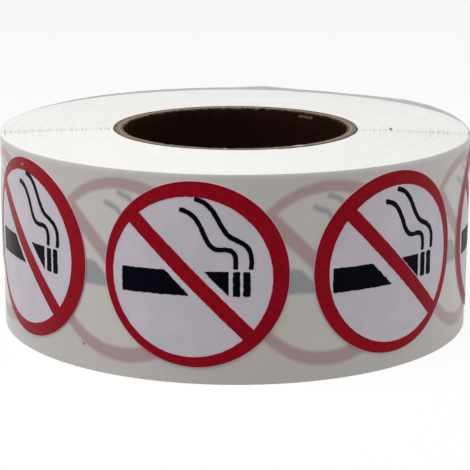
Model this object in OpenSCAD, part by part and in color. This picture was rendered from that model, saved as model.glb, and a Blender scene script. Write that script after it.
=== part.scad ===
/* [Label] */
// Diameter of each round label
label_d = 25.4; // [19:0.1:38]
// Thickness of the label paper with its adhesive
label_t = 0.1; // [0.08:0.01:0.2]
// Clearance under each label, so that its curved back stays off the web
seat_gap = 0.01; // [0.01:0.005:0.03]
// Bare liner between one label and the next
label_gap = 3.2; // [2:0.1:6]
// Height that the printed colour stands above the label paper
ink_t = 0.02; // [0.02:0.01:0.05]
// Pale cut edge of the label that the print leaves free
cut_edge = 0.12; // [0.1:0.01:0.4]

/* [Print] */
// Width of the red ring, at the place where the print is centred on its label
ring_w = 1.8; // [1.2:0.1:2.6]
// Width of the red bar across the ring
slash_w = 2; // [1.2:0.1:2.8]
// White gap on each side of the bar, where it crosses the cigarette
slash_gap = 0.85; // [0.4:0.05:1.2]
// Width of the two smoke lines
smoke_w = 0.65; // [0.4:0.05:0.9]
// Least gap between the red and the black print
print_gap = 0.05; // [0.03:0.01:0.1]

/* [Liner] */
// Thickness of the liner paper
liner_t = 0.06; // [0.05:0.01:0.12]
// Bare liner above the labels
top_margin = 0.9; // [0.5:0.1:3]
// Bare liner below the labels
bottom_margin = 2.3; // [0.5:0.1:3]
// Air between one turn of the roll and the next
turn_air = 0.032; // [0.01:0.001:0.05]
// Turns wound on the core, each a liner with its labels
turns = 87; // [60:1:120]
// Turns that stand together as one ridge of the top face
turns_per_ridge = 5; // [4:1:12]
// Depth of the grooves between the ridges
ridge_d = 0.1; // [0.05:0.01:0.2]
// Most that one ridge stands below the next
telescope_d = 0.06; // [0:0.01:0.1]
// Width of the flat edge of the outermost turns
rim_w = 0.5; // [0.3:0.1:1]
// Angle of the front label away from straight ahead
front_angle = -8.87; // [-20:0.01:20]

/* [Core] */
// Bore of the cardboard core
bore_d = 33.2; // [20:0.1:38]
// Wall of the cardboard core
core_wall = 1.5; // [1:0.1:2.4]
// Plies that show in the wall
core_plies = 4; // [2:1:5]
// Depth of the joints between the plies, at the ends of the core
ply_joint_d = 0.06; // [0.03:0.01:0.1]
// Worn bevel on the inner edges of the core
core_bevel = 0.3; // [0.1:0.05:0.5]

/* [Hidden] */
$fn = 128;
FRONT_LABEL = 5;
OUTLINE_POINTS = 64;
TURN_POINTS = 180;
BAR_STEPS = 6;
CURVE_STEPS = 6;

label_r = label_d / 2;
label_pitch = label_d + label_gap;
liner_w = bottom_margin + label_d + top_margin;
label_z = bottom_margin + label_r;
bore_r = bore_d / 2;
core_r = bore_r + core_wall;
turn_t = liner_t + label_t + turn_air;
roll_r = core_r + turns * turn_t;
label_back_r = roll_r + seat_gap;
label_face_r = label_back_r + label_t;
roll_round = 2 * PI * roll_r;
// The outermost turn carries as many labels as fit and leaves more than one gap bare at its free end
LABELS = floor((roll_round - label_gap) / label_pitch);
bare_end = roll_round - LABELS * label_pitch;

PRINTS = ["", "_red_print", "_black_print"];

ridges = max(2, round(turns / turns_per_ridge));
ridge_w = (roll_r - rim_w - core_r) / ridges;
groove_w = 0.3 * ridge_w;
ply_t = core_wall / core_plies;

pitch_turn = arc_turn(label_pitch);
free_end_turn = label_turn(1) + pitch_turn / 2 + arc_turn(bare_end);
ring_r = label_r - ring_w;
// The figure inside the ring is drawn on a grid of tenths of the ring's inner radius
grid = ring_r / 10;
CIGARETTE_ENDS = [-8.8, 4.6];
CIGARETTE_LEVELS = [-2.25, 0.85];
EMBER_STARTS = [5.1, 6.35];
EMBER_SPAN = 0.87;
SMOKE_LOW = [
    [[5.4, 1.15], [5.6, 2.95], [5.3, 3.6], [4.05, 3.6]],
    [[4.05, 3.6], [2.75, 3.4], [2.3, 3.95], [1.85, 4.9]],
    [[1.85, 4.9], [1.1, 6.6], [0.6, 8.15], [-1.4, 8.4]]
];
SMOKE_HIGH = [
    [[7.25, 1.15], [7.6, 3.65], [6.8, 4.2], [5.35, 4.85]],
    [[5.35, 4.85], [4.2, 5.3], [3.85, 6.3], [3.25, 7.35]],
    [[3.25, 7.35], [2.5, 8.7], [1.9, 9.5], [0.45, 9.75]]
];
// How far each label's two colours are printed off the label's centre, in shares of the ring's width
RED_SHIFT = [
    [0.1, -0.05], [-0.1, 0.1], [0.15, -0.1], [0.18, -0.12], [-0.3, -0.2], [-0.51, -0.06], [-0.2, 0.1]
];
BLACK_SHIFT = [
    [0.05, 0], [-0.15, 0.05], [-0.1, -0.2], [-0.18, -0.3], [-0.26, -0.19], [-0.36, 0], [-0.1, 0.1]
];

// Angle round the roll that a length of web takes up
function arc_turn(length) = length / roll_r * 180 / PI;

// Angle of label k round the roll, from the front towards +X
function label_turn(k) = front_angle + (FRONT_LABEL - k) * pitch_turn;

// Middle of one colour's print on label k, on the flat web
function print_centre(shifts, k) =
    [0, label_z] + shifts[(k - 1) % len(shifts)] * (ring_w - cut_edge);

// Radius of the outermost turn: the bare end rises by one liner up to its cut edge
function web_r(back) = roll_r + liner_t * max(0, 1 - back / arc_turn(bare_end));

// Height of ridge k of the top face: the turns never line up quite
function ridge_top(k) = liner_w - telescope_d * pow(sin(k * 68), 2);

// Point of the flat web as it is seen from straight ahead, once the web is wound on the roll
function wound(p) = [roll_r * sin(arc_turn(p[0])), p[1]];

function wound_all(points) = [for (p = points) wound(p)];

// Point of a circle, at share i / steps of the angle
function arc_point(r, angle, i, steps) = r * [cos(angle * i / steps), sin(angle * i / steps)];

function round_outline(r, centre) =
    [for (i = [0:OUTLINE_POINTS - 1]) wound(centre + arc_point(r, 360, i, OUTLINE_POINTS))];

function between(a, b, steps) = [for (i = [0:steps]) a + (b - a) * i / steps];

function bezier(c, t) =
    pow(1 - t, 3) * c[0] + 3 * t * pow(1 - t, 2) * c[1] + 3 * t * t * (1 - t) * c[2] + pow(t, 3) * c[3];

function curve_points(curves) =
    concat([curves[0][0]], [for (c = curves, i = [1:CURVE_STEPS]) bezier(c, i / CURVE_STEPS)]);

function unit(v) = v / norm(v);

// Sideways direction at point i of a line
function side_way(points, i) =
    let (ahead = unit(points[min(i + 1, len(points) - 1)] - points[max(i - 1, 0)]))
    [-ahead[1], ahead[0]];

// Closed outline of a line of even width along the points
function stroke(points, width) = concat(
    [for (i = [0:len(points) - 1]) points[i] + side_way(points, i) * width / 2],
    [for (i = [len(points) - 1:-1:0]) points[i] - side_way(points, i) * width / 2]
);

// A sheet that follows the roll between two radii, cut to the outline that its child gives
module wound_sheet(turn, r_in, r_out) {
    rotate([0, 0, turn])
        intersection() {
            difference() {
                cylinder(r = r_out, h = liner_w);
                translate([0, 0, -1])
                    cylinder(r = r_in, h = liner_w + 2);
            }
            rotate([90, 0, 0])
                linear_extrude(height = r_out + 1)
                    children();
        }
}

// Half section of the cardboard tube, with the joints of its plies in both ends
module core_outline() {
    rim_r = bore_r + core_bevel;
    joint_w = 0.2 * ply_t;
    // The joints that lie in the flat rim, outside the bevel
    joints = [for (k = [1:core_plies - 1]) let (r = bore_r + k * ply_t) if (r - joint_w > rim_r) r];
    polygon(concat(
        [[rim_r, 0]],
        [for (r = joints, step = [-1, 0, 1]) [r + step * joint_w, step == 0 ? ply_joint_d : 0]],
        [[core_r, 0], [core_r, liner_w]],
        [for (k = [len(joints) - 1:-1:0], step = [1, 0, -1])
            [joints[k] + step * joint_w, step == 0 ? liner_w - ply_joint_d : liner_w]],
        [[rim_r, liner_w], [bore_r, liner_w - core_bevel], [bore_r, core_bevel]]
    ));
}

module core() {
    color("#8c7c68")
        rotate_extrude()
            core_outline();
}

// Half section of the wound web, taken past its outer face: grooves below and a ridged top
module web_outline() {
    past_r = roll_r + rim_w;
    polygon(concat(
        [[core_r, 0]],
        [for (k = [1:2:ridges - 1], step = [-1, 0, 1])
            [core_r + k * ridge_w + step * groove_w / 2, step == 0 ? ridge_d : 0]],
        [[past_r, 0], [past_r, liner_w], [roll_r - rim_w, liner_w]],
        [for (k = [ridges - 1:-1:0], step = [1, 0])
            [core_r + (k + step / 2) * ridge_w, step == 0 ? ridge_top(k) : ridge_top(k) - ridge_d]]
    ));
}

// The outermost turn seen from above, from the cut edge round to the face that the edge lies on
module turn_outline() {
    rotate([0, 0, free_end_turn - 90])
        polygon(concat(
            [for (i = [0:TURN_POINTS - 1]) arc_point(web_r(360 * i / TURN_POINTS), -360, i, TURN_POINTS)],
            [[roll_r, 0]]
        ));
}

module wound_liner() {
    color("#dedbd5")
        intersection() {
            rotate_extrude()
                web_outline();
            translate([0, 0, -1])
                linear_extrude(height = liner_w + 2)
                    turn_outline();
        }
}

module label(k) {
    color("#f0eff2")
        wound_sheet(label_turn(k), label_back_r, label_face_r)
            polygon(round_outline(label_r, [0, label_z]));
}

// Outline of a bar square to the slash's width, through the middle of the ring
module slash_outline(centre, width) {
    along = [cos(45), -sin(45)] * label_d;
    across = [sin(45), cos(45)] * width / 2;
    polygon(wound_all(concat(
        between(centre - along + across, centre + along + across, BAR_STEPS),
        between(centre + along - across, centre - along - across, BAR_STEPS)
    )));
}

// The two halves of the ring's hole, on both sides of the slash
module ring_hole(centre, r, bar_w) {
    difference() {
        polygon(round_outline(r, centre));
        slash_outline(centre, bar_w);
    }
}

module red_print(k) {
    color("#a4182c")
        wound_sheet(label_turn(k), label_face_r, label_face_r + ink_t)
            difference() {
                polygon(round_outline(label_r - cut_edge, [0, label_z]));
                ring_hole(print_centre(RED_SHIFT, k), ring_r, slash_w);
            }
}

// A block of the cigarette's height between two places along the grid
module figure_box(centre, ends) {
    bottom = CIGARETTE_LEVELS[0];
    top = CIGARETTE_LEVELS[1];
    corners = [[ends[0], bottom], [ends[1], bottom], [ends[1], top], [ends[0], top]];
    polygon(wound_all([for (p = corners) centre + p * grid]));
}

module smoke_line(centre, curves) {
    polygon(wound_all([for (p = stroke(curve_points(curves) * grid, smoke_w)) centre + p]));
}

// The cigarette, cut in two beside the slash, its ember and its smoke
module smoking_figure(centre) {
    difference() {
        figure_box(centre, CIGARETTE_ENDS);
        slash_outline(centre, slash_w + 2 * slash_gap);
    }
    for (start = EMBER_STARTS) {
        figure_box(centre, [start, start + EMBER_SPAN]);
    }
    smoke_line(centre, SMOKE_LOW);
    smoke_line(centre, SMOKE_HIGH);
}

// The figure stays clear of the red print, however far apart the two colours are printed
module black_print(k) {
    color("#15161c")
        wound_sheet(label_turn(k), label_face_r, label_face_r + ink_t)
            intersection() {
                smoking_figure(print_centre(BLACK_SHIFT, k));
                ring_hole(print_centre(RED_SHIFT, k), ring_r - print_gap, slash_w + 2 * print_gap);
            }
}

core();
wound_liner();
for (k = [1:LABELS]) {
    label(k);
    red_print(k);
    black_print(k);
}
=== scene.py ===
"""A roll of round no smoking labels, wound on a cardboard core and standing on its end.

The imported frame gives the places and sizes. This script dresses it: the wound web with the edges of its
turns, the cardboard core, and each label of the outermost turn with its two printed colours.
"""

from __future__ import annotations

import logging
import math
import random
from collections.abc import Callable
from dataclasses import dataclass
from enum import Enum

import bmesh
import bpy
from mathutils import Matrix, Vector, noise
from mathutils.geometry import tessellate_polygon

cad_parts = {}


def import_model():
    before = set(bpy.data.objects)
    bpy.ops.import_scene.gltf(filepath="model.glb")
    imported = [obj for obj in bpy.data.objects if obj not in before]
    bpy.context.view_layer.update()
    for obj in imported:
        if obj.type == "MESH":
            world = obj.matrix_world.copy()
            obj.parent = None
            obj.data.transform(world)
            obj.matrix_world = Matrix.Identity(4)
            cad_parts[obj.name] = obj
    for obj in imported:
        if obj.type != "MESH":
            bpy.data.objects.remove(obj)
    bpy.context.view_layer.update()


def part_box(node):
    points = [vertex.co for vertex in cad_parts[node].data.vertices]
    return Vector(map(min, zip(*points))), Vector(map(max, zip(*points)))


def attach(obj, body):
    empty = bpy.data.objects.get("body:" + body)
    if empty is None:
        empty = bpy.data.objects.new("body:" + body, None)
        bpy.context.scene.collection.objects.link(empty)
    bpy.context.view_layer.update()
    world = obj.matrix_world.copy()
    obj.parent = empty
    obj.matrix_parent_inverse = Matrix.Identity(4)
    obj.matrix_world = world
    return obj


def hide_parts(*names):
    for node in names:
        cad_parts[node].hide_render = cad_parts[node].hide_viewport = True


LOG = logging.getLogger("label_roll")
MM = 0.001
BODY = "root"
FULL_TURN = 2 * math.pi
CIRCLE_STEPS = 160
OVERLAP = 0.01

Point = tuple[float, float]
Outline = list[Point]
Place = tuple[float, float, float]


class Slot(Enum):
    """The record's material slots."""

    CORE = "core_board"
    LINER = "liner_paper"
    LABEL = "label_paper"
    RED = "red_ink"
    BLACK = "black_ink"


class Ink(Enum):
    """The two printed colours of a label, named as their nodes end."""

    RED = "red_print"
    BLACK = "black_print"


@dataclass(frozen=True)
class RollSizes:
    """Sizes of the roll in millimetres and places as angles in radians, from the front towards +X."""

    roll_r: float
    core_r: float
    bore_r: float
    width: float
    label_r: float
    label_z: float
    labels: int = 7
    front_label: int = 5
    front_turn: float = math.radians(-8.87)
    core_wall: float = 1.5
    label_gap: float = 3.2
    label_rise: float = 0.11
    ink_t: float = 0.02
    liner_t: float = 0.06
    turn_t: float = 0.192

    @classmethod
    def from_frame(cls) -> RollSizes:
        """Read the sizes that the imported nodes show.

        Returns:
            The sizes of the roll.
        """
        core_low, core_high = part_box("core")
        web_low, web_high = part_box("wound_liner")
        label_low, label_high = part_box("label_1")
        core_r = (core_high[0] - core_low[0]) / 2 / MM
        return cls(
            roll_r=(web_high[0] - web_low[0]) / 2 / MM,
            core_r=core_r,
            bore_r=core_r - cls.core_wall,
            width=(web_high[2] - web_low[2]) / MM,
            label_r=(label_high[2] - label_low[2]) / 2 / MM,
            label_z=(label_high[2] + label_low[2]) / 2 / MM,
        )

    @property
    def pitch(self) -> float:
        """Length of web from one label to the next."""
        return 2 * self.label_r + self.label_gap

    @property
    def bare_end(self) -> float:
        """Bare length of web at the free end."""
        return FULL_TURN * self.roll_r - self.labels * self.pitch

    @property
    def turns(self) -> int:
        """Number of turns of the web."""
        return round((self.roll_r - self.core_r) / self.turn_t)

    @property
    def free_end(self) -> float:
        """Angle of the cut end of the web."""
        return self.label_turn(1) + (self.pitch / 2 + self.bare_end) / self.roll_r

    def label_turn(self, number: int) -> float:
        """Angle of a label, numbered from 1 at the free end."""
        return self.front_turn + (self.front_label - number) * self.pitch / self.roll_r

    def web_r(self, back: float) -> float:
        """Radius of the outermost turn, one liner higher at the cut end than past the bare stretch."""
        return self.roll_r + self.liner_t * max(0.0, 1 - back * self.roll_r / self.bare_end)


@dataclass(frozen=True)
class Mark:
    """A small soft mark: its middle, how far it reaches along each axis, and its colour."""

    centre: Place
    reach: Place
    tint: tuple[float, float, float, float]


def math_method(operation: str, flipped: bool = False) -> Callable[..., Wire]:
    """Make a method of Wire that adds a Math node.

    Args:
        operation: The node's operation.
        flipped: Whether the wire is the last input and not the first.

    Returns:
        The method, which takes the other inputs.
    """

    def method(wire: Wire, *others: Wire | float) -> Wire:
        """Add the node and return its result."""
        values = (*others, wire) if flipped else (wire, *others)
        return wire.graph.add("ShaderNodeMath", {"operation": operation}, dict(enumerate(values)))

    return method


@dataclass(frozen=True, eq=False)
class Wire:
    """An output socket that Python operators can work on."""

    graph: Graph
    socket: bpy.types.NodeSocket | None

    __add__ = __radd__ = math_method("ADD")
    __sub__ = math_method("SUBTRACT")
    __rsub__ = math_method("SUBTRACT", flipped=True)
    __mul__ = __rmul__ = math_method("MULTIPLY")
    __truediv__ = math_method("DIVIDE")
    __mod__ = math_method("FLOORED_MODULO")
    __abs__ = math_method("ABSOLUTE")
    sqrt = math_method("SQRT")
    floor = math_method("FLOOR")
    least = math_method("MINIMUM")
    most = math_method("MAXIMUM")
    angle = math_method("ARCTAN2")

    def __neg__(self) -> Wire:
        """Negative."""
        return self * -1.0

    def clamped(self) -> Wire:
        """Kept between 0 and 1."""
        return self.least(1.0).most(0.0)

    def below(self, edge: Wire | float, blur: float) -> Wire:
        """Soft test for a value under an edge: 1 below it, 0 above it, blurred over a width."""
        return ((edge - self) / blur + 0.5).clamped()


@dataclass(frozen=True, eq=False)
class Graph:
    """A node tree that is filled in by one method."""

    tree: bpy.types.NodeTree

    def add(
        self,
        kind: str,
        settings: dict[str, object] | None = None,
        values: dict[str | int, object] | None = None,
        out: str | int = 0,
    ) -> Wire:
        """Add a node.

        Args:
            kind: The node's type.
            settings: Its properties, set first. stops fills a colour ramp.
            values: Its inputs by name or number, as numbers or wires.
            out: The output to return.

        Returns:
            That output.
        """
        node = self.tree.nodes.new(kind)
        for name, value in (settings or {}).items():
            if name == "stops":
                self._fill_ramp(node, value)
            else:
                setattr(node, name, value)
        for name, value in (values or {}).items():
            if isinstance(value, Wire):
                self.tree.links.new(value.socket, node.inputs[name])
            else:
                node.inputs[name].default_value = value
        return Wire(self, node.outputs[out] if len(node.outputs) else None)

    @staticmethod
    def _fill_ramp(node: bpy.types.Node, stops: list[tuple[float, tuple[float, ...]]]) -> None:
        """Set the stops of a colour ramp.

        Args:
            node: The ramp.
            stops: Positions and colours.
        """
        elements = node.color_ramp.elements
        while len(elements) < len(stops):
            elements.new(1.0)
        for element, (position, colour) in zip(elements, stops):
            element.position = position
            element.color = colour

    def parts(self, vector: Wire) -> tuple[Wire, Wire, Wire]:
        """The three components of a vector."""
        split = self.add("ShaderNodeSeparateXYZ", values={0: vector}).socket.node
        return tuple(Wire(self, output) for output in split.outputs)

    def vector(self, operation: str, first: object, second: object = None) -> Wire:
        """Add a Vector Math node.

        Args:
            operation: The node's operation.
            first: Its first vector.
            second: Its second vector, or the number that SCALE takes.

        Returns:
            Its result.
        """
        values = {0: first}
        if second is not None:
            values["Scale" if operation == "SCALE" else 1] = second
        out = "Value" if operation in ("LENGTH", "DOT_PRODUCT") else 0
        return self.add("ShaderNodeVectorMath", {"operation": operation}, values, out)

    def noise(self, vector: Wire, scale: float, detail: float = 2.0) -> Wire:
        """Noise between 0 and 1, with this many blobs to a unit and octaves of detail."""
        return self.add("ShaderNodeTexNoise", values={"Vector": vector, "Scale": scale, "Detail": detail})

    def blend(self, amount: Wire | float, first: object, second: object, mode: str = "MIX") -> Wire:
        """Mix two colours, the second as far as the amount says."""
        settings = {"data_type": "RGBA", "blend_type": mode}
        return self.add("ShaderNodeMix", settings, {0: amount, 6: first, 7: second}, 2)

    def shaded(self, amount: Wire | float, base: object, tint: object) -> Wire:
        """Multiply a colour by a tint as far as the amount says."""
        return self.blend(amount, base, tint, "MULTIPLY")

    def marked(self, place: Wire, base: object, *marks: Mark) -> Wire:
        """Lay small soft marks on a colour.

        Args:
            place: Where the surface is read.
            base: The colour.
            marks: The marks.

        Returns:
            The marked colour.
        """
        for mark in marks:
            away = self.vector("DIVIDE", self.vector("SUBTRACT", place, mark.centre), mark.reach)
            base = self.blend(self.vector("LENGTH", away).below(1.0, 1.0), base, mark.tint)
        return base


def colour(red: float, green: float, blue: float) -> tuple[float, float, float, float]:
    """A linear colour with full alpha."""
    return (red, green, blue, 1.0)


@dataclass(frozen=True)
class Figure:
    """The no smoking figure on the flat web, in millimetres from the ring's centre."""

    label_r: float
    ring_w = 1.8
    slash_w = 2.0
    slash_gap = 0.85
    smoke_w = 0.65
    cut_edge = 0.07
    cigarette = (-8.8, 4.6, -2.25, 0.85)
    ember_w = 0.87
    ember_left = (5.1, 6.35)
    smoke_low = (
        ((5.4, 1.15), (5.6, 2.95), (5.3, 3.6), (4.05, 3.6)),
        ((4.05, 3.6), (2.75, 3.4), (2.3, 3.95), (1.85, 4.9)),
        ((1.85, 4.9), (1.1, 6.6), (0.6, 8.15), (-1.4, 8.4)),
    )
    smoke_high = (
        ((7.25, 1.15), (7.6, 3.65), (6.8, 4.2), (5.35, 4.85)),
        ((5.35, 4.85), (4.2, 5.3), (3.85, 6.3), (3.25, 7.35)),
        ((3.25, 7.35), (2.5, 8.7), (1.9, 9.5), (0.45, 9.75)),
    )
    smoke_steps = 12
    arc_steps = 96
    bar_steps = 40
    edge_roughness = 0.065
    arc_share = 0.4
    bar_share = 0.5
    black_share = 1.7

    @property
    def ring_r(self) -> float:
        """Radius of the ring's hole."""
        return self.label_r - self.ring_w

    @property
    def grid(self) -> float:
        """Length of a step of the grid that the black figure is drawn on."""
        return self.ring_r / 10

    def smoke_paths(self, steps: int) -> list[Outline]:
        """Middle lines of the two wisps of smoke, with this many points on each curve."""
        return [self._path(curves, steps) for curves in (self.smoke_low, self.smoke_high)]

    def _path(self, curves: tuple, steps: int) -> Outline:
        """Points along a chain of cubic curves.

        Args:
            curves: Each curve's four control points, on the figure's grid.
            steps: Points on each curve.

        Returns:
            The points in millimetres.
        """
        points = [curves[0][0]]
        for curve in curves:
            for step in range(1, steps + 1):
                t = step / steps
                weights = ((1 - t) ** 3, 3 * t * (1 - t) ** 2, 3 * t * t * (1 - t), t**3)
                points.append(tuple(sum(w * p[axis] for w, p in zip(weights, curve)) for axis in (0, 1)))
        return [(x * self.grid, y * self.grid) for x, y in points]

    def red_outlines(self, shift: Point, rough: random.Random) -> list[list[Outline]]:
        """The red area as one shape: the label's disc less the two halves of the ring's hole."""
        holes = [self._half_hole(middle, shift, rough) for middle in (math.radians(45), math.radians(225))]
        return [[circle_points(self.label_r - self.cut_edge), *holes]]

    def _half_hole(self, middle: float, shift: Point, rough: random.Random) -> Outline:
        """One half of the ring's hole, beside the slash.

        Args:
            middle: Angle of the middle of its arc.
            shift: How far the print lies from the label's centre.
            rough: Seeded source of the wander of the printed edge.

        Returns:
            Its outline.
        """
        reach = math.acos(self.slash_w / 2 / self.ring_r)
        points = []
        for step in range(self.arc_steps + 1):
            angle = middle - reach + 2 * reach * step / self.arc_steps
            r = self.ring_r + rough.uniform(-1, 1) * self.edge_roughness * self.arc_share
            points.append((r * math.cos(angle), r * math.sin(angle)))
        start, end = points[-1], points[0]
        across = (math.cos(middle), math.sin(middle))
        for step in range(1, self.bar_steps):
            wander = rough.uniform(-1, 1) * self.edge_roughness * self.bar_share
            points.append(beside(start, end, step / self.bar_steps, across, wander))
        return [(x + shift[0], y + shift[1]) for x, y in points]

    def black_outlines(self, shift: Point, rough: random.Random) -> list[list[Outline]]:
        """The black areas: two parts of the cigarette, two bars of ember and two wisps of smoke.

        Args:
            shift: How far the print lies from the label's centre.
            rough: Seeded source of the wander of the printed edge.

        Returns:
            Six shapes, each one outline.
        """
        left, right, bottom, top = (value * self.grid for value in self.cigarette)
        reach = (self.slash_w / 2 + self.slash_gap) * math.sqrt(2)
        shapes = [
            [(left, bottom), (-reach - bottom, bottom), (-reach - top, top), (left, top)],
            [(reach - top, top), (right, reach - right), (right, top)],
        ]
        for start in self.ember_left:
            x0, x1 = start * self.grid, (start + self.ember_w) * self.grid
            shapes.append([(x0, bottom), (x1, bottom), (x1, top), (x0, top)])
        shapes += [stroke(path, self.smoke_w) for path in self.smoke_paths(self.smoke_steps)]
        amount = self.edge_roughness * self.black_share
        shapes = [softened(roughened(shape, amount, rough)) for shape in shapes]
        return [[[(x + shift[0], y + shift[1]) for x, y in shape]] for shape in shapes]


def circle_points(r: float) -> Outline:
    """Points of a circle, anticlockwise."""
    angles = [FULL_TURN * step / CIRCLE_STEPS for step in range(CIRCLE_STEPS)]
    return [(r * math.cos(angle), r * math.sin(angle)) for angle in angles]


def beside(start: Point, end: Point, t: float, side: Point, wander: float) -> Point:
    """A point on a straight stretch at share t, moved aside by the wander."""
    return tuple(start[i] + (end[i] - start[i]) * t + side[i] * wander for i in (0, 1))


def roughened(outline: Outline, amount: float, rough: random.Random) -> Outline:
    """Split the long edges of an outline and let them wander, as ink does on paper.

    Args:
        outline: The closed outline.
        amount: Most that a point moves.
        rough: Seeded source of the wander.

    Returns:
        The new outline.
    """
    stretch, corner_share, edge_share = 0.15, 0.2, 0.6
    points: Outline = []
    for start, end in zip(outline, outline[1:] + outline[:1]):
        length = math.dist(start, end)
        steps = max(1, round(length / stretch))
        side = ((start[1] - end[1]) / length, (end[0] - start[0]) / length)
        for step in range(steps):
            wander = rough.uniform(-1, 1) * amount * (edge_share if step else corner_share)
            points.append(beside(start, end, step / steps, side, wander))
    return points


def softened(outline: Outline) -> Outline:
    """The outline with each point moved towards its two neighbours."""
    trios = zip(outline[-1:] + outline[:-1], outline, outline[1:] + outline[:1])
    return [tuple(here[i] / 2 + (before[i] + after[i]) / 4 for i in (0, 1)) for before, here, after in trios]


def stroke(path: Outline, width: float) -> Outline:
    """Outline of a line of even width with square ends.

    Args:
        path: Its middle line.
        width: Its width.

    Returns:
        The closed outline.
    """
    left, right = [], []
    for index, (x, y) in enumerate(path):
        before = path[max(index - 1, 0)]
        after = path[min(index + 1, len(path) - 1)]
        ahead = Vector((after[0] - before[0], after[1] - before[1])).normalized()
        left.append((x - ahead.y * width / 2, y + ahead.x * width / 2))
        right.append((x + ahead.y * width / 2, y - ahead.x * width / 2))
    return left + right[::-1]


def new_object(name: str, data: bpy.types.ID) -> bpy.types.Object:
    """Put a mesh, lamp or camera in the scene, at the origin."""
    piece = bpy.data.objects.new(name, data)
    bpy.context.scene.collection.objects.link(piece)
    return piece


def new_material(name: str) -> tuple[bpy.types.Material, Graph]:
    """An empty material and its graph."""
    material = bpy.data.materials.new(name)
    material.use_nodes = True
    material.node_tree.nodes.clear()
    return material, Graph(material.node_tree)


def finished(name: str, shape: bmesh.types.BMesh, sharp: float) -> bpy.types.Object:
    """Turn a closed shape into a smooth piece whose faces point outwards.

    Args:
        name: The piece's name.
        shape: The shape, which is freed.
        sharp: Angle in degrees from which an edge stays hard.

    Returns:
        The piece, at the origin.
    """
    bmesh.ops.recalc_face_normals(shape, faces=shape.faces[:])
    mesh = bpy.data.meshes.new(name)
    shape.to_mesh(mesh)
    shape.free()
    mesh.shade_smooth()
    mesh.set_sharp_from_angle(angle=math.radians(sharp))
    return new_object(name, mesh)


def join_columns(shape: bmesh.types.BMesh, columns: list[list], rest: int = 0) -> None:
    """Join the sections of a turned shape by faces.

    Args:
        shape: The mesh under way.
        columns: The sections' vertices, in order round the shape.
        rest: Material index of every face but those of the section's first stretch.
    """
    for one, two in zip(columns, columns[1:]):
        for index in range(len(one)):
            after = (index + 1) % len(one)
            quad = shape.faces.new((one[index], one[after], two[after], two[index]))
            quad.material_index = rest if index else 0


def dressed(
    piece: bpy.types.Object, materials: list[bpy.types.Material], nodes: tuple[str, ...] = ()
) -> None:
    """Dress a piece and set it in the frame.

    Args:
        piece: The finished mesh object.
        materials: Its materials in slot order.
        nodes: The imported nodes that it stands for.
    """
    for material in materials[len(piece.data.materials):]:
        piece.data.materials.append(material)
    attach(piece, BODY)
    if nodes:
        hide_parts(*nodes)
    LOG.info("%s: %d faces", piece.name, len(piece.data.polygons))


@dataclass(frozen=True)
class WoundSheet:
    """A thin sheet that lies on the roll, by the angle of its middle and the radii of back and face."""

    sizes: RollSizes
    turn: float
    r_in: float
    r_out: float
    cut_step: float = 1.0
    sharp: float = 30
    thinnest: float = 1e-9

    def build(self, name: str, shapes: list[list[Outline]]) -> bpy.types.Object:
        """Cut the sheet, give it its thickness and wind it on the roll.

        Args:
            name: The new object's name.
            shapes: Each shape as an outer outline and its holes, from the label's centre.

        Returns:
            The finished piece.
        """
        sheet = bmesh.new()
        for shape in shapes:
            self._fill(sheet, shape)
        self._cut_in_strips(sheet)
        self._thicken(sheet)
        for vert in sheet.verts:
            vert.co = self._wound(vert.co)
        return finished(name, sheet, self.sharp)

    def _fill(self, sheet: bmesh.types.BMesh, shape: list[Outline]) -> None:
        """Fill one shape with flat triangles.

        Args:
            sheet: The mesh under way.
            shape: An outer outline and its holes.
        """
        corners = [sheet.verts.new((x, 0.0, z)) for outline in shape for x, z in outline]
        for triangle in tessellate_polygon([[Vector((x, z, 0.0)) for x, z in outline] for outline in shape]):
            trio = [corners[index] for index in triangle]
            if (trio[1].co - trio[0].co).cross(trio[2].co - trio[0].co).length > self.thinnest:
                sheet.faces.new(trio)

    def _cut_in_strips(self, sheet: bmesh.types.BMesh) -> None:
        """Cut the flat shape upright, so that it can follow the roll."""
        xs = [vert.co.x for vert in sheet.verts]
        first = math.ceil(min(xs) / self.cut_step)
        last = math.floor(max(xs) / self.cut_step)
        for index in range(first, last + 1):
            bmesh.ops.bisect_plane(
                sheet,
                geom=sheet.verts[:] + sheet.edges[:] + sheet.faces[:],
                dist=1e-5,
                plane_co=(index * self.cut_step, 0, 0),
                plane_no=(1, 0, 0),
            )

    def _thicken(self, sheet: bmesh.types.BMesh) -> None:
        """Make a closed plate whose y is the radius."""
        for vert in sheet.verts:
            vert.co.y = self.r_in
        grown = bmesh.ops.extrude_face_region(sheet, geom=sheet.faces[:])
        for item in grown["geom"]:
            if isinstance(item, bmesh.types.BMVert):
                item.co.y = self.r_out

    def _wound(self, flat: Vector) -> Vector:
        """Place in metres of a flat point: along the web, radius, height from the label's centre."""
        angle = self.turn + flat.x / self.sizes.roll_r
        return Vector((flat.y * math.sin(angle), -flat.y * math.cos(angle), self.sizes.label_z + flat.z)) * MM


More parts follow.
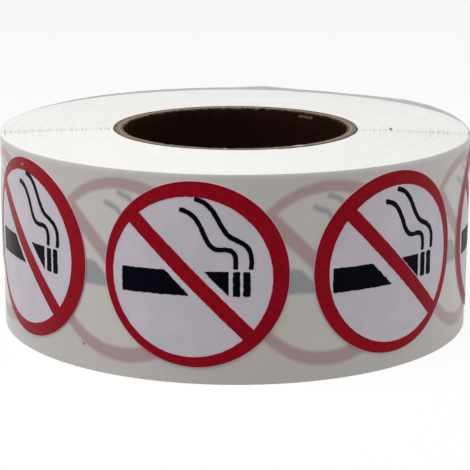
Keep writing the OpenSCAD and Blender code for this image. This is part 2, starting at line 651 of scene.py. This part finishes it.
class Finish:
    """A procedural finish on Object coordinates, in millimetres."""

    name = "finish"
    rough = 0.5
    rough_spread = 0.0
    relief = 0.01
    specular = 0.5
    sheen = 0.0
    sheen_rough = 0.3

    def __init__(self, sizes: RollSizes) -> None:
        """Keep the sizes that the pattern follows."""
        self.sizes = sizes

    def make(self) -> bpy.types.Material:
        """Build the material.

        Returns:
            The material.
        """
        material, graph = new_material(self.name)
        place = graph.vector("SCALE", graph.add("ShaderNodeTexCoord", out="Object"), 1 / MM)
        base, height = self.pattern(graph, place)
        rough = self.rough + self.rough_spread * height if self.rough_spread else self.rough
        bump = {"Height": height, "Distance": self.relief * MM, "Strength": 1.0}
        values = {
            "Base Color": base,
            "Roughness": rough,
            "Specular IOR Level": self.specular,
            "Sheen Weight": self.sheen,
            "Sheen Roughness": self.sheen_rough,
            "Normal": graph.add("ShaderNodeBump", values=bump),
        }
        shader = graph.add("ShaderNodeBsdfPrincipled", values=values)
        graph.add("ShaderNodeOutputMaterial", values={"Surface": shader})
        return material

    def pattern(self, graph: Graph, place: Wire) -> tuple[Wire, Wire]:
        """The colour of the surface and the height of its fine relief."""
        raise NotImplementedError


class LinerFace(Finish):
    """Outer face of the liner: satin release paper that the turn beneath shows through."""

    name = "liner_face"
    rough = 0.36
    rough_spread = 0.1
    specular = 0.75
    sheen = 0.35
    paper = colour(0.71, 0.675, 0.635)
    between = colour(0.93, 0.92, 0.93)
    red_tint = colour(0.68, 0.49, 0.55)
    black_tint = colour(0.48, 0.52, 0.58)
    thick_fibre = colour(0.93, 0.93, 0.93)
    # Painted light: the liner's side is painted brighter towards its top edge.
    painted_top_light = 0.55
    painted_light_reach = 0.75
    painted_light_colour = colour(1.0, 0.98, 0.94)
    speck = Mark((-20.62, -28.03, 3.55), (0.22, 0.22, 0.22), colour(0.24, 0.23, 0.23))
    blur = 0.6
    red_shift = -0.5
    red_rise = 0.22
    black_shift = -0.8
    beneath_low = -0.25
    ghost_steps = 3

    def pattern(self, graph: Graph, place: Wire) -> tuple[Wire, Wire]:
        """Work out where the label of the turn beneath lies and tint the paper there."""
        sizes = self.sizes
        figure = Figure(sizes.label_r)
        x, y, z = graph.parts(place)
        back = (sizes.free_end - x.angle(-y)) % FULL_TURN
        first = sizes.pitch / 2 + sizes.bare_end
        along = back * sizes.roll_r + (FULL_TURN * sizes.roll_r - first + sizes.pitch / 2)
        u = sizes.pitch / 2 - along % sizes.pitch
        v = z - (sizes.label_z + self.beneath_low)
        r = (u * u + v * v).sqrt()
        slant = abs(u + v - self.red_shift) * math.sqrt(0.5)
        inside = r.below(sizes.label_r, self.blur)
        across, up = u - self.red_shift, v - self.red_rise
        hole = (across * across + up * up).sqrt().below(figure.ring_r, self.blur)
        bar = slant.below(figure.slash_w / 2, self.blur)
        red = inside * (1 - hole) + hole * bar
        left, right, bottom, top = (value * figure.grid for value in figure.cigarette)
        tall = abs(v - (top + bottom) / 2).below((top - bottom) / 2, self.blur)
        across = u - self.black_shift
        body = abs(across - (left + right) / 2).below((right - left) / 2, self.blur)
        slant = abs(across + v) * math.sqrt(0.5)
        clear = 1 - slant.below(figure.slash_w / 2 + figure.slash_gap, self.blur)
        black = body * clear
        for start in figure.ember_left:
            middle = (start + figure.ember_w / 2) * figure.grid
            black = black.most(abs(across - middle).below(figure.ember_w * figure.grid / 2, self.blur))
        black = black * tall
        flat = graph.add("ShaderNodeCombineXYZ", values={0: across, 1: v})
        for path in figure.smoke_paths(self.ghost_steps):
            for start, end in zip(path, path[1:]):
                away = self._away(graph, flat, start, end)
                black = black.most(away.below(figure.smoke_w / 2, self.blur))
        fibres = graph.noise(place, 0.9, 4.0)
        base = graph.shaded(fibres, self.paper, self.thick_fibre)
        base = graph.shaded(1 - inside, base, self.between)
        base = graph.shaded(red, base, self.red_tint)
        base = graph.shaded(black, base, self.black_tint)
        # Painted light: blend a near-white in over the top of the side.
        painted_top_light = (z - (sizes.width - self.painted_light_reach)) / self.painted_light_reach
        base = graph.blend(painted_top_light.clamped() * self.painted_top_light, base, self.painted_light_colour)
        base = graph.marked(place, base, self.speck)
        return base, graph.noise(place, 3.0, 3.0)

    @staticmethod
    def _away(graph: Graph, flat: Wire, start: Point, end: Point) -> Wire:
        """Distance from a short straight stretch.

        Args:
            graph: The material's graph.
            flat: The point on the flat web.
            start: Where the stretch starts.
            end: Where it ends.

        Returns:
            The distance.
        """
        step = (end[0] - start[0], end[1] - start[1], 0.0)
        reach = graph.vector("SUBTRACT", flat, (*start, 0.0))
        share = (graph.vector("DOT_PRODUCT", reach, step) / (step[0] ** 2 + step[1] ** 2)).clamped()
        return graph.vector("LENGTH", graph.vector("SUBTRACT", reach, graph.vector("SCALE", step, share)))


class TurnEdges(Finish):
    """Cut edges of the wound web: bright paper, a little different from turn to turn."""

    name = "turn_edges"
    rough = 0.75
    relief = 0.05
    specular = 0.15
    paper = colour(0.90, 0.895, 0.88)
    dull = colour(0.90, 0.90, 0.895)
    worn = colour(0.93, 0.925, 0.91)
    marks = (
        # Painted shade: a dark dot in a gap between turns; the next mark is a nick in the edge.
        Mark((23.1, -1.6, 28.6), (0.2, 1.0, 0.6), colour(0.06, 0.05, 0.045)),
        Mark((18.3, -29.5, 28.6), (0.3, 0.3, 0.4), colour(0.30, 0.31, 0.26)),
    )
    # Painted shade deep in the narrow gaps between the turns' edges.
    gap_start = 0.3
    painted_gap_shade = colour(0.19, 0.19, 0.195)
    rim_w = 0.12
    # Inner wall of the climbed outermost turn: partly the liner's own grey, partly painted shade.
    rim_wall_grey_and_shade = colour(0.57, 0.57, 0.59)

    def pattern(self, graph: Graph, place: Wire) -> tuple[Wire, Wire]:
        """Give each turn its own slight tone under faint clouds of wear, with painted shade deep in the gaps
        and in one dark dot between turns, and the climbed rim's inner wall grey, partly painted shade.
        """
        x, y, z = graph.parts(place)
        r = (x * x + y * y).sqrt()
        turn = (r / self.sizes.turn_t).floor()
        own = graph.add("ShaderNodeTexWhiteNoise", {"noise_dimensions": "1D"}, {"W": turn})
        cloud = graph.noise(place, 0.35, 4.0)
        base = graph.shaded(own * 0.45 + cloud * 0.35, self.paper, self.dull)
        fibres = graph.noise(place, 2.2, 3.0)
        base = graph.shaded(((fibres - 0.45) * 5.0).clamped() * 0.6, base, self.worn)
        base = graph.marked(place, base, *self.marks)
        middle = self.sizes.width / 2
        # Painted shade: darken the strips further down between the turns.
        shaded_depth = abs(z - middle).below(middle - self.gap_start, 0.12)
        base = graph.shaded(shaded_depth, base, self.painted_gap_shade)
        # Grey the climbed rim's inner wall, partly with painted shade.
        wall = abs(r - (self.sizes.roll_r - self.rim_w)).below(0.03, 0.01)
        wall = wall * (1 - z.below(self.sizes.width - 0.02, 0.1))
        return graph.blend(wall, base, self.rim_wall_grey_and_shade), fibres


class LabelPaper(Finish):
    """Face of the label: smooth coated paper."""

    name = "label_paper"
    rough = 0.42
    rough_spread = 0.08
    specular = 0.3
    sheen = 0.25
    # Painted shade on the label's cut side wall.
    painted_wall_shade = colour(0.72, 0.68, 0.68)
    cool = colour(0.685, 0.655, 0.72)
    warm = colour(0.79, 0.70, 0.785)
    speck = Mark((-6.65, -34.28, 23.95), (0.3, 0.3, 0.2), colour(0.45, 0.42, 0.42))

    def pattern(self, graph: Graph, place: Wire) -> tuple[Wire, Wire]:
        """Even white with faint clouds and a small speck, and painted shade on the label's cut side wall."""
        cloud = graph.noise(place, 0.22, 4.0)
        base = graph.blend(((cloud - 0.35) * 3.0).clamped(), self.cool, self.warm)
        base = graph.marked(place, base, self.speck)
        x, y, _ = graph.parts(place)
        # Painted shade: darken the side wall below the label's face.
        wall = (x * x + y * y).sqrt().below(self.sizes.roll_r + self.sizes.label_rise - 0.015, 0.01)
        return graph.shaded(wall, base, self.painted_wall_shade), graph.noise(place, 1.5, 3.0)


class InkFinish(Finish):
    """Printed colour with a faint mottle."""

    rough = 0.45
    rough_spread = 0.1
    relief = 0.006
    sheen = 0.4
    # A small lighter spot on the red ring of one label.
    lighter_red_spot = Mark((-29.55, -18.6, 26.6), (0.4, 0.4, 0.16), colour(0.6, 0.2, 0.2))
    shades = {
        Ink.RED: (colour(0.29, 0.0012, 0.0095), colour(0.41, 0.0032, 0.017)),
        Ink.BLACK: (colour(0.0018, 0.0019, 0.005), colour(0.0032, 0.0036, 0.009)),
    }
    mirrors = {Ink.RED: 0.06, Ink.BLACK: 0.01}

    def __init__(self, sizes: RollSizes, ink: Ink) -> None:
        """Choose which of the two printed colours it is."""
        super().__init__(sizes)
        self.ink = ink
        self.name = ink.value
        self.specular = self.mirrors[ink]

    def pattern(self, graph: Graph, place: Wire) -> tuple[Wire, Wire]:
        """Mottle between the ink's thick and thin shade and lay a small lighter spot on the red."""
        mottle = graph.noise(place, 1.4, 5.0)
        share = ((mottle - 0.3) * 2.5).clamped()
        base = graph.blend(share, *self.shades[self.ink])
        if self.ink is Ink.RED:
            base = graph.marked(place, base, self.lighter_red_spot)
        return base, mottle


class CoreBoard(Finish):
    """Grey-brown board: fibrous plies in the rim, and in the bore a very dark colour, partly a dark inner ply
    and partly painted shade.
    """

    name = "core_board"
    rough = 0.92
    relief = 0.12
    specular = 0.04
    plies = tuple(
        (at, colour(*shade))
        for at, *shade in (
            (0.0, 0.075, 0.05, 0.03), (0.15, 0.125, 0.095, 0.065), (0.22, 0.29, 0.235, 0.175),
            (0.29, 0.24, 0.195, 0.15), (0.35, 0.15, 0.12, 0.09), (0.43, 0.36, 0.285, 0.21),
            (0.55, 0.40, 0.32, 0.235), (0.61, 0.17, 0.135, 0.105), (0.70, 0.18, 0.145, 0.115),
            (0.77, 0.31, 0.25, 0.19), (0.87, 0.19, 0.16, 0.13), (1.0, 0.10, 0.085, 0.07),
        )
    )
    thin = colour(0.7, 0.68, 0.66)
    # Very dark in the bore: partly the board's dark inner ply, partly painted shade inside the tube.
    dark_bore = colour(0.012, 0.0035, 0.0022)
    dark_bore_paler = colour(0.026, 0.013, 0.0095)
    bevel = 0.3
    dark_bore_reach = 0.45
    seam_rise = 14.0
    flake = (math.radians(138.5), 27.85, 1.35, 0.22)
    flake_colour = colour(0.10, 0.072, 0.056)
    marks = (
        Mark((-1.4, -17.0, 28.6), (0.18, 0.4, 0.4), colour(0.8, 0.77, 0.74)),
        Mark((8.7, -14.7, 28.6), (0.8, 0.4, 0.4), colour(0.62, 0.58, 0.55)),
        # Painted shadow in the gap between the core and the web, at the left.
        Mark((-18.0, 0.35, 28.6), (0.3, 0.5, 0.5), colour(0.02, 0.015, 0.012)),
    )

    def pattern(self, graph: Graph, place: Wire) -> tuple[Wire, Wire]:
        """Lay the plies across the wall, the dark colour with painted shade in the bore, the few torn spots
        and a painted shadow beside the web.
        """
        sizes = self.sizes
        x, y, z = graph.parts(place)
        wander = graph.noise(place, 0.45, 4.0)
        ragged = graph.noise(place, 1.5, 5.0)
        r = (x * x + y * y).sqrt()
        share = (r + (wander - 0.5) * 0.45 - sizes.bore_r) / (sizes.core_r - sizes.bore_r)
        fibres = graph.noise(place, 4.0, 6.0)
        base = graph.add("ShaderNodeValToRGB", {"stops": self.plies}, {0: share})
        base = graph.shaded(((fibres - 0.3) * 2.2).clamped(), base, self.thin)
        base = graph.marked(place, base, *self.marks)
        inner = r.below(sizes.bore_r + self.bevel * 0.2 + (ragged - 0.5) * 0.6, 0.12)
        shaded_depth = z.below(sizes.width - self.bevel * 0.6 + (ragged - 0.5) * 1.1, 0.2)
        seam = ((z + x.angle(y) * (self.seam_rise / FULL_TURN)) % self.seam_rise).below(0.35, 0.2)
        # Dark colour of the bore, partly painted shade, below the ragged rim.
        dark_bore = graph.blend(seam * 0.3 + fibres * 0.4, self.dark_bore, self.dark_bore_paler)
        in_bore = r.below(sizes.bore_r + self.dark_bore_reach, 0.1)
        base = graph.blend(inner.most(in_bore * shaded_depth), base, dark_bore)
        angle, height, long, tall = self.flake
        beside_flake = abs(x.angle(-y) - angle) * sizes.bore_r
        torn = beside_flake.below(long + (ragged - 0.5) * 1.5, 0.2)
        torn = torn * abs(z - height).below(tall + (fibres - 0.5) * 0.3, 0.1)
        return graph.blend(torn * in_bore, base, self.flake_colour), fibres


@dataclass(frozen=True)
class WoundWeb:
    """The wound web: its outer face with the free end, and the edges of its turns."""

    sizes: RollSizes
    steps: int = 360
    rim_w: float = 0.12
    gap_depth: float = 0.5
    strip_w: float = 0.158
    strip_steps: int = 160
    wander: float = 0.2
    telescope: float = 0.16
    sunk: float = 0.07
    edge_wobble: float = 0.04
    edge_waves: tuple[int, ...] = (2, 3, 5, 8, 13)
    sharp: float = 30
    climb: tuple[Point, ...] = (
        (95, 0.0), (106, 0.3), (118, 0.58), (128, 0.6), (138, 0.36), (148, 0.27), (162, 0.36),
        (172, 0.68), (180, 0.4), (200, 0.35), (222, 0.28), (236, 0.12), (250, 0.0),
    )

    def build(self, face: bpy.types.Material, edges: bpy.types.Material) -> None:
        """Make the web and its turn edges.

        Args:
            face: Finish of the outer face.
            edges: Finish of the cut edges.
        """
        dressed(self._body(), [face, edges], ("wound_liner",))
        low = self.gap_depth / 2 + self.sunk
        top = self.sizes.width - self.gap_depth / 2 - self.sunk
        for name, level, seed in (("turn_edges_top", top, 3.0), ("turn_edges_bottom", low, 11.0)):
            dressed(self._edges(name, level, seed, edges), [edges])

    def _body(self) -> bpy.types.Object:
        """Lathe the block of the web, with the step of its free end.

        Returns:
            The block, whose outer face has the first material.
        """
        sizes = self.sizes
        body = bmesh.new()
        rough = random.Random(4)
        waves = [(rough.choice(self.edge_waves), rough.uniform(0, FULL_TURN)) for _ in range(6)]
        columns = []
        for step in range(self.steps + 1):
            back = FULL_TURN * step / self.steps
            angle = sizes.free_end - back
            outer = sizes.roll_r if step == self.steps else sizes.web_r(back)
            wobble = sum(math.sin(count * angle + phase) for count, phase in waves) / len(waves)
            top = sizes.width - self.edge_wobble * (0.5 + 0.5 * wobble) + self._climb_at(angle)
            columns.append(self._column(body, angle, outer, top))
        join_columns(body, columns, rest=1)
        self._close_step(body, columns[-1], columns[0])
        bmesh.ops.remove_doubles(body, verts=body.verts[:], dist=1e-8)
        return finished("wound_web", body, self.sharp)

    def _climb_at(self, angle: float) -> float:
        """How far in millimetres the outermost turn has climbed above the others.

        Args:
            angle: Where it is asked, in radians from the front.

        Returns:
            The climb.
        """
        turned = math.degrees(angle) % 360
        for (start, low), (end, high) in zip(self.climb, self.climb[1:]):
            if start <= turned <= end:
                return low + (high - low) * (turned - start) / (end - start)
        return 0.0

    def _column(self, body: bmesh.types.BMesh, angle: float, outer: float, top: float) -> list:
        """Vertices of the half section at one angle.

        Args:
            body: The mesh under way.
            angle: Where the section lies.
            outer: Radius of the outer face there.
            top: Height of the outermost edge there.

        Returns:
            The vertices, from the foot of the outer face round to its foot again.
        """
        sizes = self.sizes
        rim, floor = sizes.roll_r - self.rim_w, sizes.width - self.gap_depth
        section = (
            (outer, 0.0), (outer, top), (rim, top), (rim, floor),
            (sizes.core_r, floor), (sizes.core_r, self.gap_depth), (rim, self.gap_depth), (rim, 0.0),
        )
        return [
            body.verts.new((r * math.sin(angle) * MM, -r * math.cos(angle) * MM, z * MM)) for r, z in section
        ]

    @staticmethod
    def _close_step(body: bmesh.types.BMesh, last: list, first: list) -> None:
        """Close the section between the free end and the turn that it lies on.

        Args:
            body: The mesh under way.
            last: The section under the free end.
            first: The section at the free end.
        """
        face = body.faces.new((last[0], last[1], first[1], first[0]))
        face.material_index = 1
        for side in ((first[1], last[1], last[2]), (first[0], last[7], last[0])):
            body.faces.new(side).material_index = 1

    def _edges(self, name: str, level: float, seed: float, material: bpy.types.Material) -> bpy.types.Object:
        """Wind the edges of the turns as one long strip.

        Args:
            name: The piece's name.
            level: Height of the strip's middle.
            seed: Where the noise is read.
            material: Its finish.

        Returns:
            The plain mesh piece.
        """
        sizes = self.sizes
        start = sizes.core_r + self.strip_w / 2 + 0.02
        end = sizes.roll_r - self.rim_w - self.strip_w / 2 + 0.03
        rotations = (end - start) / sizes.turn_t
        tree, inputs = self._edge_tree(material)
        values = {
            "Turns": rotations,
            "Points a turn": self.strip_steps,
            "First radius": start * MM,
            "Last radius": end * MM,
            "Strip width": self.strip_w * MM,
            "Strip height": self.gap_depth * MM,
            "Level": level * MM,
            "Twist": sizes.free_end - math.pi / 2 - rotations * FULL_TURN,
            "Wander": self.wander * MM,
            "Telescope": self.telescope * MM,
            "Seed": seed,
        }
        return baked(name, tree, {inputs[key]: value for key, value in values.items()})

    @staticmethod
    def _edge_tree(material: bpy.types.Material) -> tuple[bpy.types.NodeTree, dict[str, str]]:
        """Nodes that wind a strip of paper edge into a spiral.

        Args:
            material: The strip's finish.

        Returns:
            The tree, and its inputs' identifiers by name.
        """
        tree = bpy.data.node_groups.new("wind_turn_edges", "GeometryNodeTree")
        lengths = ("First radius", "Last radius", "Strip width", "Strip height", "Level", "Twist")
        names = {"Turns": "Float", "Points a turn": "Int"}
        names |= dict.fromkeys((*lengths, "Wander", "Telescope", "Seed"), "Float")
        inputs = {
            name: tree.interface.new_socket(name, in_out="INPUT", socket_type=f"NodeSocket{kind}").identifier
            for name, kind in names.items()
        }
        tree.interface.new_socket("Geometry", in_out="OUTPUT", socket_type="NodeSocketGeometry")
        graph = Graph(tree)
        entry = graph.add("NodeGroupInput").socket.node
        given = {name: Wire(graph, entry.outputs[name]) for name in names}
        spiral_values = {
            "Resolution": given["Points a turn"],
            "Rotations": given["Turns"],
            "Start Radius": given["First radius"],
            "End Radius": given["Last radius"],
            "Height": 0.0,
        }
        spiral = graph.add("GeometryNodeCurveSpiral", values=spiral_values)
        way = graph.vector("NORMALIZE", graph.add("GeometryNodeInputPosition"))
        east, north, _ = graph.parts(way)
        turn = graph.add("GeometryNodeSplineParameter", out="Factor") * given["Turns"]
        spot = graph.add("ShaderNodeCombineXYZ", values={0: east, 1: north, 2: turn * 2.7 + given["Seed"]})
        aside = (graph.noise(spot, 1.6) - 0.5) * given["Wander"]
        spot = graph.add("ShaderNodeCombineXYZ", values={0: north, 1: east, 2: turn * 1.3 + given["Seed"]})
        rise = (graph.noise(spot, 0.8) - 0.5) * given["Telescope"]
        up = graph.add("ShaderNodeCombineXYZ", values={2: rise + given["Level"]})
        offset = graph.vector("ADD", graph.vector("SCALE", way, aside), up)
        spiral = graph.add("GeometryNodeSetPosition", values={"Geometry": spiral, "Offset": offset})
        spiral = graph.add("GeometryNodeSetCurveNormal", {"mode": "Z_UP"}, {0: spiral})
        section_values = {"Width": given["Strip width"], "Height": given["Strip height"]}
        section = graph.add("GeometryNodeCurvePrimitiveQuadrilateral", values=section_values)
        strip_values = {"Curve": spiral, "Profile Curve": section, "Fill Caps": True}
        strip = graph.add("GeometryNodeCurveToMesh", values=strip_values)
        twist = graph.add("ShaderNodeCombineXYZ", values={2: given["Twist"]})
        strip = graph.add("GeometryNodeTransform", values={"Geometry": strip, "Rotation": twist})
        strip = graph.add("GeometryNodeRealizeInstances", values={"Geometry": strip})
        strip = graph.add("GeometryNodeSetMaterial", values={"Geometry": strip, "Material": material})
        graph.add("NodeGroupOutput", values={"Geometry": strip})
        return tree, inputs


def baked(name: str, tree: bpy.types.NodeTree, values: dict[str, object]) -> bpy.types.Object:
    """Run a geometry tree once and keep its result as a plain mesh.

    Args:
        name: The piece's name.
        tree: The geometry tree.
        values: Its inputs by identifier.

    Returns:
        The piece, with no modifier left on it.
    """
    piece = new_object(name, bpy.data.meshes.new(name))
    modifier = piece.modifiers.new("nodes", "NODES")
    modifier.node_group = tree
    for identifier, value in values.items():
        modifier[identifier] = value
    result = bpy.data.meshes.new_from_object(piece.evaluated_get(bpy.context.evaluated_depsgraph_get()))
    piece.modifiers.clear()
    piece.data = result
    return piece


@dataclass(frozen=True)
class Core:
    """The cardboard tube with its worn rims."""

    sizes: RollSizes
    steps: int = 240
    rim_rows: int = 8
    bevel: float = 0.3
    bevel_share: float = 0.35
    bore_row: float = 1.5
    bore_rows: int = 18
    rim_rough: float = 0.12
    bore_rough: float = 0.14
    sharp: float = 40

    def build(self, board: bpy.types.Material) -> None:
        """Make the tube in its finish."""
        dressed(self._tube(), [board], ("core",))

    def _section(self) -> list[Point]:
        """Half section of the tube.

        Returns:
            Radius and height of its points, in order round the wall.
        """
        sizes = self.sizes
        wall = sizes.core_r - sizes.bore_r
        top = [
            (sizes.bore_r + self.bevel + (wall - self.bevel) * i / self.rim_rows, sizes.width)
            for i in range(self.rim_rows + 1)
        ]
        cut = self.bevel * self.bevel_share
        edge = sizes.width - self.bevel
        inner = [(sizes.bore_r, edge - row * self.bore_row) for row in range(self.bore_rows)]
        foot = [(sizes.bore_r, self.bevel)]
        bottom = [(r, 0.0) for r, _ in top]
        return top[::-1] + [(sizes.bore_r + cut, sizes.width - cut)] + inner + foot + bottom

    def _tube(self) -> bpy.types.Object:
        """Lathe the tube and roughen its rims and bore.

        Returns:
            The tube.
        """
        section = self._section()
        tube = bmesh.new()
        rings = []
        for step in range(self.steps):
            angle = FULL_TURN * step / self.steps
            rings.append([tube.verts.new(self._worn(r, z, angle)) for r, z in section])
        join_columns(tube, rings + rings[:1])
        return finished("core_tube", tube, self.sharp)

    def _worn(self, r: float, z: float, angle: float) -> Vector:
        """Place of a point of the wall, with the wear of the board.

        Args:
            r: Its radius.
            z: Its height.
            angle: Its angle.

        Returns:
            The place in metres.
        """
        sizes = self.sizes
        place = Vector((r * math.cos(angle), r * math.sin(angle), z))
        if sizes.bore_r < r < sizes.core_r and z > sizes.width / 2:
            place.z -= self.rim_rough * (0.5 + 0.5 * noise.noise(place * 1.7))
        if r < sizes.bore_r + self.bevel / 2:
            spread = 1 + self.bore_rough / r * noise.noise(place * 0.9)
            place.x *= spread
            place.y *= spread
        return place * MM


@dataclass(frozen=True)
class Labels:
    """The labels of the outermost turn with their print."""

    sizes: RollSizes
    black_lift: float = 0.004
    red_shifts: tuple[Point, ...] = (
        (0.17, -0.08), (-0.17, 0.17), (0.25, -0.17), (0.45, -0.25),
        (-0.5, -0.34), (-0.85, -0.1), (-0.34, 0.17),
    )
    black_shifts: tuple[Point, ...] = (
        (0.08, 0.0), (-0.25, 0.08), (-0.17, -0.34), (-0.3, -0.5),
        (-0.43, -0.32), (-0.6, 0.0), (-0.17, 0.17),
    )

    def build(self, paper: bpy.types.Material, inks: dict[Ink, bpy.types.Material]) -> None:
        """Make every label.

        Args:
            paper: Finish of the label's face.
            inks: Finish of each printed colour.
        """
        sizes = self.sizes
        figure = Figure(sizes.label_r)
        face_r = sizes.roll_r + sizes.label_rise
        for number in range(1, sizes.labels + 1):
            turn = sizes.label_turn(number)
            node = f"label_{number}"
            disc = WoundSheet(sizes, turn, sizes.roll_r - OVERLAP, face_r)
            disc = disc.build(f"{node}_paper", [[circle_points(sizes.label_r)]])
            dressed(disc, [paper], (node,))
            rough = random.Random(100 + number)
            red_shift, black_shift = self.red_shifts[number - 1], self.black_shifts[number - 1]
            areas = {
                Ink.RED: (figure.red_outlines(red_shift, rough), Slot.RED, 0.0),
                Ink.BLACK: (figure.black_outlines(black_shift, rough), Slot.BLACK, self.black_lift),
            }
            for ink, (shapes, slot, lift) in areas.items():
                sheet = WoundSheet(sizes, turn, face_r - OVERLAP, face_r + sizes.ink_t + lift)
                piece = sheet.build(f"{node}_{ink.value}_ink", shapes)
                dressed(piece, [inks[ink]], (f"{node}_{ink.value}",))


@dataclass(frozen=True)
class Lamp:
    """A square soft lamp that looks at the roll."""

    name: str
    place: Place
    size: float
    power: float

    def build(self, aim: Vector) -> None:
        """Add the lamp and turn it to what it looks at.

        Args:
            aim: Where it looks.
        """
        lamp = bpy.data.lights.new(self.name, "AREA")
        lamp.shape = "SQUARE"
        lamp.size = self.size
        lamp.energy = self.power
        holder = new_object(self.name, lamp)
        holder.location = self.place
        holder.rotation_euler = (aim - Vector(self.place)).to_track_quat("-Z", "Y").to_euler()


@dataclass(frozen=True)
class Studio:
    """Pale floor, soft light and the camera."""

    camera_back: float = 243.0
    camera_high: float = 72.8
    camera_down: float = math.radians(14.08)
    camera_roll: float = 0.0029
    lens: float = 126.4
    sensor: float = 36.0
    clip: float = 0.01
    aim: Place = (0, 0, 0.015)
    room: float = 0.14
    floor_reach: float = 3.0
    floor_grey: float = 0.36
    floor_pale: float = 0.95
    floor_glow: float = 0.9
    lamps: tuple[Lamp, ...] = (
        Lamp("key", (-0.065, -0.1, 0.35), 0.22, 1.16),
        Lamp("left_fill", (-0.7, -0.1, 0.2), 0.5, 1.2),
        Lamp("right_fill", (0.7, -0.02, 0.2), 0.5, 1.8),
    )

    def build(self) -> None:
        """Set up the stage, the lamps and the camera."""
        self._world()
        self._floor()
        for lamp in self.lamps:
            lamp.build(Vector(self.aim))
        self._camera()
        bpy.context.scene.view_settings.view_transform = "Standard"

    @staticmethod
    def _seen(graph: Graph) -> Wire:
        """1 for the rays that should meet a plain white room."""
        path = graph.add("ShaderNodeLightPath").socket.node
        rays = [Wire(graph, path.outputs[f"Is {kind} Ray"]) for kind in ("Camera", "Glossy", "Transmission")]
        return rays[0].most(rays[1]).most(rays[2])

    def _world(self) -> None:
        """White where the camera and mirrors look, dimmer as a light."""
        world = bpy.data.worlds.new("studio")
        bpy.context.scene.world = world
        world.use_nodes = True
        world.node_tree.nodes.clear()
        graph = Graph(world.node_tree)
        white = colour(1, 1, 1)
        dim = graph.add("ShaderNodeBackground", values={"Color": white, "Strength": self.room})
        bright = graph.add("ShaderNodeBackground", values={"Color": white, "Strength": 1.0})
        both = graph.add("ShaderNodeMixShader", values={0: self._seen(graph), 1: dim, 2: bright})
        graph.add("ShaderNodeOutputWorld", values={"Surface": both})

    def _floor(self) -> None:
        """A wide floor, white to the camera and greyer to the light that it throws back."""
        reach = self.floor_reach
        mesh = bpy.data.meshes.new("floor")
        corners = [(-reach, -reach, 0), (reach, -reach, 0), (reach, reach, 0), (-reach, reach, 0)]
        mesh.from_pydata(corners, [], [(0, 1, 2, 3)])
        floor = new_object("floor", mesh)
        material, graph = new_material("floor")
        grey = graph.add("ShaderNodeBsdfDiffuse", values={"Color": colour(*[self.floor_grey] * 3)})
        pale = graph.add("ShaderNodeBsdfDiffuse", values={"Color": colour(*[self.floor_pale] * 3)})
        white = graph.add("ShaderNodeEmission", values={"Color": colour(1, 1, 1), "Strength": 1.0})
        shown = graph.add("ShaderNodeMixShader", values={0: self.floor_glow, 1: pale, 2: white})
        both = graph.add("ShaderNodeMixShader", values={0: self._seen(graph), 1: grey, 2: shown})
        graph.add("ShaderNodeOutputMaterial", values={"Surface": both})
        mesh.materials.append(material)

    def _camera(self) -> None:
        """The camera at the photograph's angle."""
        camera = bpy.data.cameras.new("camera")
        camera.sensor_width = self.sensor
        camera.lens = self.lens
        camera.clip_start = self.clip
        holder = new_object("camera", camera)
        down = Matrix.Rotation(math.pi / 2 - self.camera_down, 4, "X")
        roll = Matrix.Rotation(self.camera_roll, 4, "Z")
        place = Matrix.Translation((0, -self.camera_back * MM, self.camera_high * MM))
        holder.matrix_world = place @ down @ roll
        bpy.context.scene.camera = holder


def main() -> None:
    """Load the frame, dress the roll and set up the studio."""
    logging.basicConfig(level=logging.INFO, format="%(name)s: %(message)s")
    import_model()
    sizes = RollSizes.from_frame()
    LOG.info("roll of %d turns, radius %.2f mm", sizes.turns, sizes.roll_r)
    Studio().build()
    edges = TurnEdges(sizes).make()
    WoundWeb(sizes).build(LinerFace(sizes).make(), edges)
    Core(sizes).build(CoreBoard(sizes).make())
    inks = {ink: InkFinish(sizes, ink).make() for ink in Ink}
    Labels(sizes).build(LabelPaper(sizes).make(), inks)


if __name__ == "__main__":
    main()
